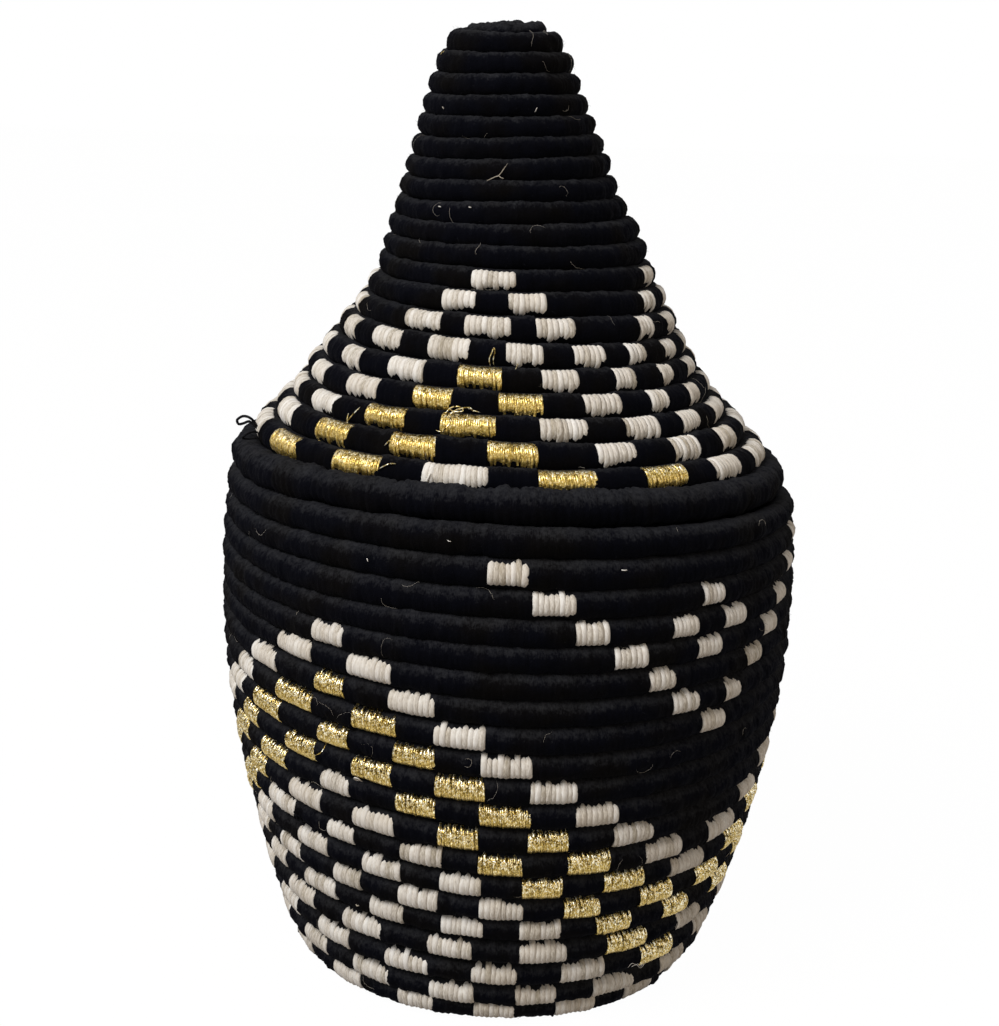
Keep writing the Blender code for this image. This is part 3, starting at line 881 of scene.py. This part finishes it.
def plainRow(name, body, ts, radius, height, outReach, upReach, wrapMm, closed, seed, nodes=(),
             s=plainShape):
    # ts in turns; radius, height and the reaches are numbers, or have a value for each t
    column = np.zeros_like(ts)[:, None]
    radius, height, outReach, upReach = (np.reshape(each, (-1, 1)) + column
                                         for each in (radius, height, outReach, upReach))
    found = {"r": radius, "z": height, "outR": 1.0, "outZ": 0.0, "downR": 0.0, "downZ": -1.0,
             "angle": 2 * np.pi * ts[:, None]}
    own = np.random.default_rng(seed)
    theta = circle(s["points"])
    heights = [height for share, height in woolShape["rise"]]
    wraps = len(ts) // len(heights)
    rise = np.repeat(own.normal(1, woolShape["riseSpread"], wraps + 1), len(heights))[:len(ts)]
    profile = np.tile(heights, wraps + 1)[:len(ts)]
    less = (s["groove"] * wrapMm * (1 - profile * rise))[:, None]
    shape = (len(ts), s["points"])
    soft = woolShape["nap"] * own.normal(0, 1, shape)
    soft = soft + woolShape["tufts"] * softNoise(shape, seed + 1)
    lumps = 1 + s["swell"] * wobble(ts, seed, *s["swellWaves"])
    lumps = (lumps + s["lumps"] * wobble(ts, seed + 2, *handMade["lumpWaves"]))[:, None]
    share = np.minimum(1.0, upReach / s["fullFrom"])
    out = (outReach * lumps - (less - soft) * share) * np.cos(theta)
    along = (upReach * lumps - (less - soft) * share) * np.sin(theta)
    tone = np.repeat(tonesOf(own, wraps + 1), len(heights))[:len(ts)]
    travelled = travelledBy(ts, radius[:, 0])
    travelled = np.append(travelled, travelled[-1] + wrapMm / len(heights))
    makePiece(name, body, "wool", place(found, out, along)[None], closed, tone[None, :, None],
              upperSide(theta), yarnUv(travelled[None], s["points"], woolShape["pointMm"]), nodes)


def ringTimes(radius, wrapMm):
    points = round(2 * math.pi * radius / wrapMm) * len(woolShape["rise"])
    return np.arange(points) / points - 0.5


def fromSteps(values, t):
    # values by step round the ring, from -8 to 7, read at t from -0.5 to 0.5
    steps = sorted(values)
    listed = [values[step] for step in steps + steps[:1]]
    return np.interp(t, np.append(np.array(steps) / stepsInTurn, 0.5), listed)


ts = ringTimes(rollShape["around"], rollShape["woundMm"])
rollReach = fromSteps({step: middle[0] for step, middle in roll.items()}, ts)
rollHeight = fromSteps({step: middle[1] for step, middle in roll.items()}, ts)
sunk = sagging["roll"] * backward(2 * np.pi * ts)
plainRow("lid_rim_roll_wool", "lid", ts, rollReach - sagging["rollInset"],
         rollHeight - sagging["rollFront"] - sunk, rollShape["out"], rollShape["up"],
         rollShape["woundMm"], True, 71, ["lid_rim_roll"])

# The collar's two rows hang under the lid, where the frame's collar is
collarReach = float(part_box("lid_collar")[1][0] / mm) - collarShape["row"]
collarHeights = {}
for step in roll:
    rows = rowsBeside(lidWound, step, -1) + [(roll[step], rollShape["radius"])]
    collarHeights[step] = touchingHeight(collarReach - collarShape["lean"], collarShape["row"], rows, -1)
for name, reach, drop, nodes in (
        ("collar_upper_row", collarReach - collarShape["lean"], 0.0, ["lid_collar"]),
        ("collar_lower_row", collarReach, collarShape["drop"], [])):
    ts = ringTimes(reach, collarShape["woundMm"])
    sunk = sagging["collar"] * backward(2 * np.pi * ts)
    plainRow(name, "lid", ts, reach, fromSteps(collarHeights, ts) - drop - sunk, collarShape["out"],
             collarShape["up"], collarShape["woundMm"], True, 73, nodes)

# The base: the beginning of the wall's coil, wound flat from the middle out
baseShape = {"endRadius": 2.0, "lower": 0.3, "puff": 4.1, "woundMm": 2.0}
baseRadius = float(wallCoil["r"][-1])
baseTurns = (baseRadius - baseShape["endRadius"]) / wallPitch
wraps = int(np.pi * baseTurns * (baseRadius + baseShape["endRadius"]) / baseShape["woundMm"])
inwardShare = np.linspace(0, 1, wraps * len(woolShape["rise"]))
baseRadii = np.sqrt(mixOf(baseRadius ** 2, baseShape["endRadius"] ** 2, inwardShare))
ts = float(wallCoil["t"][-1]) + (baseRadius - baseRadii) / wallPitch
narrower = sagging["wallNarrow"][-1][1] / baseRadius
plainRow("base_wool_rows", "basket", ts, baseRadii * (1 - narrower * backward(2 * np.pi * ts)),
         floorHeight - baseShape["lower"], baseShape["puff"], baseShape["puff"],
         baseShape["woundMm"], False, 79, ["base_disc"])

# The tip: the lid's coil goes on in two smaller turns and ends in a knot, nearly flat on top
tipShape = {"from": 0.02, "turns": 1.9, "end": 1.2, "height": 280.2, "endRow": 2.2, "points": 180,
            "woundMm": 1.6, "flatter": 0.94, "riseBy": 1.6, "thinBy": 1.3}
startAt = float(lidCoil["t"][0]) + tipShape["from"]
tipStart = {key: float(value[0]) for key, value in coilAt(lidCoil, np.array([startAt])).items()}
shares = np.linspace(0, 1, tipShape["points"])
tipRows = mixOf(tipStart["puff"], tipShape["endRow"], smoothStep(shares * tipShape["thinBy"]))
plainRow("lid_tip_turns", "lid", startAt - shares * tipShape["turns"],
         mixOf(tipStart["r"], tipShape["end"], shares),
         mixOf(tipStart["z"], tipShape["height"], smoothStep(shares * tipShape["riseBy"])),
         tipRows, tipRows * tipShape["flatter"], tipShape["woundMm"], False, 83, ["lid_tip"])

# Loose fibres that stand out of the wool: thin tapered hairs, fewer where the blocks are
# Each hair also gets a random share of the wool's painted top light, which paints it paler grey against
# the black
fuzzShape = {
    "perTurn": {"wall": 300, "lid": 220}, "length": (0.5, 1.6), "shorter": (0.5, 1.0), "thick": 0.036,
    "inBlocks": 0.08, "root": 0.2, "around": 1.25, "outward": (0.0, 0.35), "alongSpread": 0.6,
    "lean": 0.6, "bend": 0.35, "along": (0.0, 0.35, 0.7, 1.0), "taper": (1.0, 0.9, 0.7, 0.25),
    "tone": (0.2, 1.0), "upper": (0.3, 1.0),
}


def coilHairs(coil, edges, seed, s=fuzzShape):
    own = np.random.default_rng(seed)
    first, last = coil["t"][0], coil["t"][-1]
    count = int((last - first) * s["perTurn"][coil["name"]])
    ts = first + own.uniform(0, 1, count) * (last - first)
    k = np.searchsorted([edge[0] for edge in edges], ts) - 1
    highs = np.array([edge[1] for edge in edges])
    inBlock = (k >= 0) & (ts < highs[np.maximum(k, 0)] - 0.0005)
    ts = ts[~inBlock | (own.uniform(0, 1, count) < s["inBlocks"])]
    found = coilAt(coil, ts)
    n = len(ts)
    theta = own.uniform(-s["around"], s["around"], n)
    c, sn = np.cos(theta), np.sin(theta)
    out, along = (found["puff"] - s["root"]) * c, (found["across"] - s["root"]) * sn
    roots = place(found, out, along)
    outward = unit(place(found, out + c, along + sn) - roots)
    own = np.random.default_rng(seed + 1)
    length = (own.uniform(*s["length"], n) * own.uniform(*s["shorter"], n))[:, None, None]
    lean = unit(own.normal(0, 1, (n, 3)))
    heading = outward * own.uniform(*s["outward"], n)[:, None]
    heading = heading + alongRow(found["angle"]) * own.normal(0, s["alongSpread"], n)[:, None]
    heading = unit(heading + s["lean"] * lean)[:, None]
    bend = own.normal(0, s["bend"], (n, 3))[:, None]
    shares = np.array(s["along"])[:, None]
    middle = roots[:, None] + heading * (length * shares) + bend * (length * shares ** 2) * 0.5
    across = unit(np.cross(heading, own.normal(0, 1, (n, 3))[:, None]))
    thick = s["thick"] * np.array(s["taper"])[None]
    grid = tubes(middle, across, np.cross(heading, across), thick, thick, 3)
    tone, upper = (own.uniform(*s[key], n)[:, None, None] for key in ("tone", "upper"))
    makePiece(coil["name"] + "_wool_fuzz", coil["body"], "wool", grid, False, tone, upper)


for (coil, edges), seed in zip(coils, (101, 103)):
    coilHairs(coil, edges, seed)


# Threads: thin tubes along paths, for stray fibres and for the loose ends that the weaver left
# upper 0.8 gives the wool and gold threads most of the painted light of a row's upper side
threadShape = {"sides": 5, "taper": [(0, 0.6), (0.12, 1), (0.8, 1), (1, 0.3)], "upper": 0.8,
               "pointMm": 0.3, "sideMm": 0.25, "startMm": 7.3, "sideway": (0.36, -0.48, 0.8)}


def threads(name, body, yarn, paths, thick, tone, s=threadShape):
    # paths: threads x points x 3 in mm; thick: a radius for each thread
    count, rings = paths.shape[:2]
    ahead = unit(np.gradient(paths, axis=1))
    across = unit(np.cross(ahead, np.array(s["sideway"])))
    wide = np.asarray(thick)[:, None] * readAt(s["taper"], np.linspace(0, 1, rings))
    grid = tubes(paths, across, np.cross(ahead, across), wide, wide, s["sides"])
    travelled = np.arange(rings + 1) * s["pointMm"] + (np.arange(count) * s["startMm"])[:, None]
    makePiece(name, body, yarn, grid, False, np.asarray(tone)[:, None, None], s["upper"],
              yarnUv(travelled, s["sides"], s["sideMm"]))


strayShape = {
    "count": {"wall": 110, "lid": 70}, "length": (3.0, 9.0), "thick": (0.012, 0.024),
    "lift": (0.1, 0.5), "points": 14, "around": (-0.9, 0.7), "farthest": 1.15, "curl": 0.16,
    "wander": 0.22, "tone": (0, 0.5),
}


def strayFibres(coil, seed, s=strayShape):
    # pale curly fibres that lie on the rows
    own = np.random.default_rng(seed)
    count, last = s["count"][coil["name"]], s["points"] - 1
    t = coil["t"][0] + own.uniform(0, 1, count) * (coil["t"][-1] - coil["t"][0])
    theta = own.uniform(*s["around"], count)
    heading = own.uniform(0, 2 * np.pi, count)
    curl = own.normal(0, s["curl"], count)
    step = own.uniform(*s["length"], count) / last
    high, higher = own.uniform(*s["lift"], count), own.uniform(0, 1, count)
    paths = []
    for i in range(s["points"]):
        found = coilAt(coil, t)
        lift = high * (0.4 + 0.6 * np.sin(i / last * np.pi * (1 + higher)) ** 2)
        paths.append(place(found, (found["puff"] + lift) * np.cos(theta),
                           (found["across"] + lift) * np.sin(theta)))
        t = t + np.cos(heading) * step / (2 * np.pi * found["r"])
        t = np.clip(t, coil["t"][0], coil["t"][-1])
        theta = theta + np.sin(heading) * step / found["puff"]
        theta = np.clip(theta, -s["farthest"], s["farthest"])
        heading = heading + curl + own.normal(0, s["wander"], count)
    threads(coil["name"] + "_stray_fibres", coil["body"], "cotton", np.stack(paths, axis=1),
            own.uniform(*s["thick"], count), own.uniform(*s["tone"], count))


strayFibres(wallCoil, 211)
strayFibres(lidCoil, 213)


def smoothPath(points, count=28):
    p = np.array([points[0]] + list(points) + [points[-1]], float)
    at = np.linspace(0, len(points) - 1 - 1e-9, count)
    i = at.astype(int)
    u = (at - i)[:, None]
    a, b, c, d = p[i], p[i + 1], p[i + 2], p[i + 3]
    return 0.5 * (2 * b + (c - a) * u + (2 * a - 5 * b + 4 * c - d) * u ** 2
                  + (3 * b - a - 3 * c + d) * u ** 3)


# Loose ends as (yarn, row, degrees from the front, degrees round the row's section, radius in mm,
# tone, path); a path's points are mm along the row, down and out from that place
lidEnds = [
    ("wool", 20, -78, 25, 0.42, 0.6,
     [(0, 0.8, -0.4), (0.8, -1.2, 1.2), (1.0, -2.4, 3.2), (0.6, -2.2, 5.2), (0.1, -0.6, 6.4),
      (-0.2, 0.6, 5.6), (0.2, -0.2, 4.2), (0.6, -1.2, 3.0), (0.9, -0.6, 1.6), (0.6, 0.6, -0.3)]),
    ("wool", 20, -76, 45, 0.34, 0.6,
     [(0, -0.6, -0.3), (1.2, -1.4, 1.4), (2.0, -1.0, 3.4), (1.0, 0.2, 4.6), (0.2, 0.9, 3.0),
      (0.6, 0.9, -0.2)]),
    ("cotton", 7, -4.5, 20, 0.11, 0.0,
     [(-3.0, 2.0, 0.3), (-0.6, 0.9, 0.8), (0.6, 0.4, 0.9), (3.0, -2.6, 0.5)]),
    ("cotton", 7, -3.5, 20, 0.13, 0.0, [(-0.3, 0.5, 0.8), (0.5, 1.2, 0.8), (1.2, 1.5, 0.5)]),
    ("cotton", 9, -36, -20, 0.15, 0.9, [(0, 0, 0), (0.4, 0.1, 0.25), (0.9, 0.1, 0)]),
    ("cotton", 9, -19, -20, 0.15, 0.9, [(0, 0, 0), (0.4, 0.2, 0.2), (0.8, 0.2, 0)]),
    ("gold", 2, -72, -30, 0.12, 0.8, [(0, 0.6, 0), (0.6, 0.1, 0.3), (1.3, -0.6, 0.3)]),
    ("cotton", 4, 22, 30, 0.09, 0.5, [(0, 0.8, 0), (0.2, 0.2, 0.2), (0.6, -0.5, 0.1)]),
    ("cotton", 4, -46, 15, 0.10, 0.3, [(0, 0, 0), (0.3, 0.2, 0.2), (0.6, 0.6, 0)]),
    ("gold", 18, -41, 35, 0.17, 0.8,
     [(-3.0, 3.4, 0.2), (-1.6, 1.8, 0.9), (0.2, -0.2, 0.9), (2.2, -2.6, 0.2)]),
    ("gold", 18, -43, 20, 0.15, 0.8, [(0, 1.0, 0.2), (0.6, 2.6, 0.7), (1.0, 4.2, 0.4)]),
    ("gold", 19, -26, 10, 0.15, 0.8,
     [(-2.0, 1.6, 0.3), (-0.8, 0.3, 0.8), (0.8, -0.8, 0.8), (2.2, -1.6, 0.2)]),
    ("gold", 20, -25, 10, 0.17, 1.0,
     [(-2.4, 1.2, 0.2), (-0.8, 0.3, 0.8), (0.8, -0.6, 0.9), (2.4, -1.1, 0.3)]),
    ("gold", 15, -4, 30, 0.15, 0.6,
     [(-0.6, 2.4, 0.2), (-0.9, 0.6, 0.8), (-0.2, -1.4, 0.9), (0.3, -2.6, 0.6), (0.5, -1.2, 0.8),
      (0.2, 0.8, 0.8), (0.4, 2.2, 0.2)]),
    ("gold", 16, 3, -45, 0.14, 0.8, [(0, 1.2, 0.0), (0.5, 0.0, 0.6), (0.7, -1.4, 0.5)]),
    ("gold", 18, -13.5, -50, 0.17, 0.8,
     [(0.6, 0.8, 0.3), (2.2, -0.8, 0.9), (4.2, -0.6, 1.0), (5.8, 0.4, 0.8), (7.4, -0.4, 0.3)]),
    ("gold", 18, -13.5, -35, 0.20, 0.8,
     [(-1.6, 1.2, 0.2), (-0.4, -0.8, 1.1), (1.8, -1.2, 1.4), (3.2, 0.4, 1.1), (1.4, 1.4, 1.2),
      (-0.2, 0.4, 1.0), (-1.2, -1.4, 0.4)]),
    ("gold", 18, -13.5, -30, 0.19, 0.8,
     [(-0.6, 2.6, 0.3), (0.8, 0.8, 1.2), (2.6, -0.6, 1.5), (4.6, -2.0, 1.0), (6.0, -0.6, 0.7)]),
    ("gold", 18, -13.8, 0, 0.20, 0.8,
     [(1.8, -2.6, 0.3), (0.4, -1.0, 1.0), (1.0, 0.8, 1.2), (0.4, 2.4, 1.0), (-1.0, 4.0, 0.5),
      (-2.8, 3.6, 0.3)]),
    ("cotton", 20, -15.6, 35, 0.30, 0.8, [(0.6, -1.6, 0.1), (0.0, 0.0, 0.5), (-0.7, 1.8, 0.2)]),
]
wallEnds = [
    ("wool", 13, -46, 5, 0.22, 0.0,
     [(-1.6, 0.6, 0.2), (-0.6, -0.7, 0.8), (0.6, -0.5, 1.0), (0.7, 0.7, 0.8), (-0.4, 0.8, 0.9),
      (-0.2, -0.5, 1.1), (1.2, -1.0, 0.8), (2.0, 0.1, 0.2)]),
    ("wool", 13, -44.6, 18, 0.18, 0.0,
     [(-0.9, -0.5, 0.2), (0.1, 0.7, 0.9), (1.0, 0.1, 0.9), (0.3, -0.8, 0.8), (-0.6, 0.2, 0.3)]),
    ("gold", 10, -43, -45, 0.12, 0.8,
     [(-1.0, -3.0, 0.2), (-2.0, -0.8, 1.0), (-1.6, 1.8, 1.1), (0.2, 2.6, 0.9), (1.2, 1.4, 0.2)]),
    ("gold", 10, -37.5, -45, 0.12, 0.8,
     [(-0.8, 2.2, 0.2), (0.6, 3.0, 0.9), (2.2, 1.6, 1.0), (2.4, -0.8, 0.8), (1.4, -2.0, 0.2)]),
    ("cotton", 10, -28, 35, 0.17, 0.7,
     [(-0.8, 2.0, 0.1), (-1.3, 0.4, 0.7), (-0.6, -1.4, 0.9), (0.5, -1.5, 0.9), (0.8, 0.2, 0.7),
      (0.2, 1.9, 0.1)]),
    ("cotton", 18, 36, 0, 0.07, 0.9,
     [(-2.0, 0.5, 0.2), (-0.6, -0.8, 0.9), (0.9, 0.4, 1.1), (2.0, -0.4, 0.3)]),
    ("cotton", 18, 37, 10, 0.06, 0.9,
     [(-1.4, -0.8, 0.2), (0.1, 0.6, 1.0), (1.1, -0.7, 0.9), (1.6, 0.9, 0.2)]),
    ("cotton", 18, 34, -10, 0.06, 0.9,
     [(-1.0, 1.0, 0.2), (-0.2, -0.7, 0.9), (1.2, 0.3, 0.9), (2.2, 1.0, 0.2)]),
    ("cotton", 2, -26, -10, 0.15, 0.8, [(0, 0, 0), (0.3, 0.3, 0.25), (0.4, 0.8, 0)]),
    ("cotton", 1, -11, 0, 0.13, 0.7, [(0, 0, 0), (0.5, 0.2, 0.2), (1.0, 0.1, 0)]),
    ("cotton", 2, 20, -25, 0.15, 0.9, [(0, 0, 0), (0.8, 0.2, 0.25), (1.6, 0.1, 0)]),
    ("cotton", 16, -32, 0, 0.2, 0.0, [(-0.5, 0, 0), (0.0, 0.1, 0.3), (0.6, 0.0, 0)]),
]


def looseEnds(coil, ends, yarn):
    paths, radii, tones = [], [], []
    for kind, row, degrees, section, thick, tone, path in ends:
        if kind != yarn:
            continue
        found = coilAt(coil, np.array([row + degrees / 360]))
        found = {key: float(value[0]) for key, value in found.items()}
        puff, across = found["puff"], found["across"]
        c, sn = math.cos(math.radians(section)), math.sin(math.radians(section))
        start = place(found, puff * c, across * sn)
        out = unit(place(found, (puff + 1) * c, (across + 1) * sn) - start)
        down = unit(place(found, puff * c - 0.01 * sn, across * sn + 0.01 * c) - start)
        paths.append(start + smoothPath(path) @ np.stack([alongRow(found["angle"]), down, out]))
        radii.append(thick)
        tones.append(tone)
    threads("%s_loose_%s" % (coil["name"], yarn), coil["body"], yarn, np.array(paths), radii, tones)


for coil, ends in ((wallCoil, wallEnds), (lidCoil, lidEnds)):
    for yarn in yarns:
        looseEnds(coil, ends, yarn)

# Floor, light and camera
stageLook = {"floor": "#8f8984", "floorReach": 3.0, "key": 16.0, "fill": 1.4, "world": 0.28,
             "worldTint": "#f3f5ff", "paperGlow": 1.06, "glowShare": 0.93}


def seenStraight(tree):
    # 1 for rays from the camera, a mirror or glass, and 0 for the light that falls on the object
    rays = addNode(tree, "LightPath").outputs
    straight = addNode(tree, "Math", {"operation": "ADD"},
                       in_0=rays["Is Camera Ray"], in_1=rays["Is Glossy Ray"])
    return addNode(tree, "Math", {"operation": "ADD", "use_clamp": True},
                   in_0=straight, in_1=rays["Is Transmission Ray"])


def paperFloor(look=stageLook):
    # pale paper: white to the camera, and still darkened by the object's shadow
    material, tree = newMaterial("studio_paper_matt")
    paper = addNode(tree, "BsdfPrincipled", {"Base Color": look["floor"], "Roughness": 0.9})
    glow = addNode(tree, "Emission", {"Color": "#ffffff", "Strength": look["paperGlow"]})
    share = addNode(tree, "Math", {"operation": "MULTIPLY", "in 1": look["glowShare"]},
                    in_0=seenStraight(tree))
    both = addNode(tree, "MixShader", Fac=share, in_1=paper, in_2=glow)
    addNode(tree, "OutputMaterial", Surface=both)
    return material


floorMesh = bpy.data.meshes.new("studio_floor")
reach = stageLook["floorReach"]
floorMesh.from_pydata([(-reach, -reach, 0), (reach, -reach, 0), (reach, reach, 0), (-reach, reach, 0)],
                      [], [(0, 1, 2, 3)])
floorMesh.materials.append(paperFloor())
floor = bpy.data.objects.new("studio_floor", floorMesh)
scene.collection.objects.link(floor)


def setWorld(look=stageLook):
    world = bpy.data.worlds.new("soft_room")
    scene.world = world
    world.use_nodes = True
    tree = world.node_tree
    tree.nodes.clear()
    room = addNode(tree, "Background", {"Color": look["worldTint"], "Strength": look["world"]})
    white = addNode(tree, "Background", {"Color": "#ffffff", "Strength": 1.0})
    both = addNode(tree, "MixShader", Fac=seenStraight(tree), in_1=room, in_2=white)
    addNode(tree, "OutputWorld", Surface=both)


def addLamp(name, spot, aim, size, watts, code):
    lamp = bpy.data.lights.new(name, "AREA")
    lamp.shape = "DISK"
    lamp.size = size
    lamp.energy = watts
    lamp.color = hexColour(code)[:3]
    holder = bpy.data.objects.new(name, lamp)
    holder.location = spot
    holder.rotation_euler = (Vector(aim) - Vector(spot)).to_track_quat("-Z", "Y").to_euler()
    scene.collection.objects.link(holder)


setWorld()
addLamp("window_left", (-0.65, -0.7, 1.1), (0, 0, 0.14), 0.7, stageLook["key"], "#f6f7ff")
addLamp("room_right", (0.95, -0.55, 0.45), (0, 0, 0.12), 0.8, stageLook["fill"], "#ffe9cf")

# The photo's view: where the eye is in mm, and how far it looks down and leans, in degrees
viewShot = {"spot": (-3.1, -550.0, 293.9), "down": 15.93, "roll": 1.91, "lens": 65.6}


def setCamera(v=viewShot):
    down, turned = math.radians(v["down"]), math.radians(v["roll"])
    right, up = Vector((1, 0, 0)), Vector((0, math.sin(down), math.cos(down)))
    back = right.cross(up)
    sideways = right * math.cos(turned) + up * math.sin(turned)
    upright = up * math.cos(turned) - right * math.sin(turned)
    turning = Matrix((sideways, upright, back)).transposed().to_4x4()
    data = bpy.data.cameras.new("photo_view")
    data.lens = v["lens"]
    data.sensor_width = 36.0
    data.clip_start = 0.01
    holder = bpy.data.objects.new("photo_view", data)
    holder.matrix_world = Matrix.Translation(Vector(v["spot"]) * mm) @ turning
    scene.collection.objects.link(holder)
    scene.camera = holder


setCamera()
scene.view_settings.view_transform = "Standard"
print("stage set")
